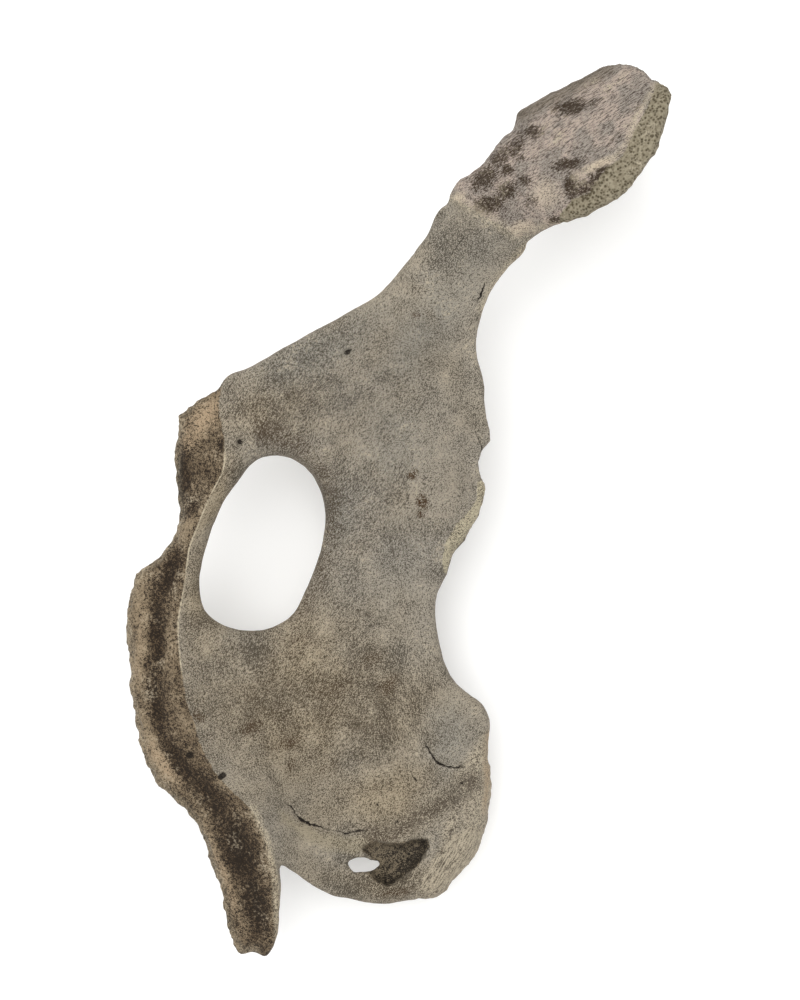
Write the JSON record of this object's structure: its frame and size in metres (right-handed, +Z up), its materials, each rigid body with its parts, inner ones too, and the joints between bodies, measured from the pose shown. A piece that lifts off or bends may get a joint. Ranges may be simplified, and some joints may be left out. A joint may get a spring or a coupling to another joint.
{
  "type": "cow hip bone",
  "caption": "Weathered right hip bone of a cow, lying outer side down: shaft and wing of the ilium, pubis, ischium, obturator foramen and hip socket, as a still museum model.",
  "frame": {"origin": "middle of the bone's box, on the surface that it lies on", "axes": "+Y from the ischium towards the wing of the ilium, +X away from the pubic symphysis, +Z up out of the pelvic face"},
  "size_m": [0.3008, 0.5052, 0.1628],
  "materials": {
    "dry_bone": "dry weathered bone, matt, with a fine grain",
    "rough_bone": "rough spongy bone, matt"
  },
  "bodies": {
    "root": {"ilium_wing": "rough_bone", "tuber_coxae": "rough_bone", "ilium_body": "dry_bone", "pubis": "dry_bone", "ischium": "dry_bone", "ischial_tuber": "dry_bone"}
  },
  "joints": []
}
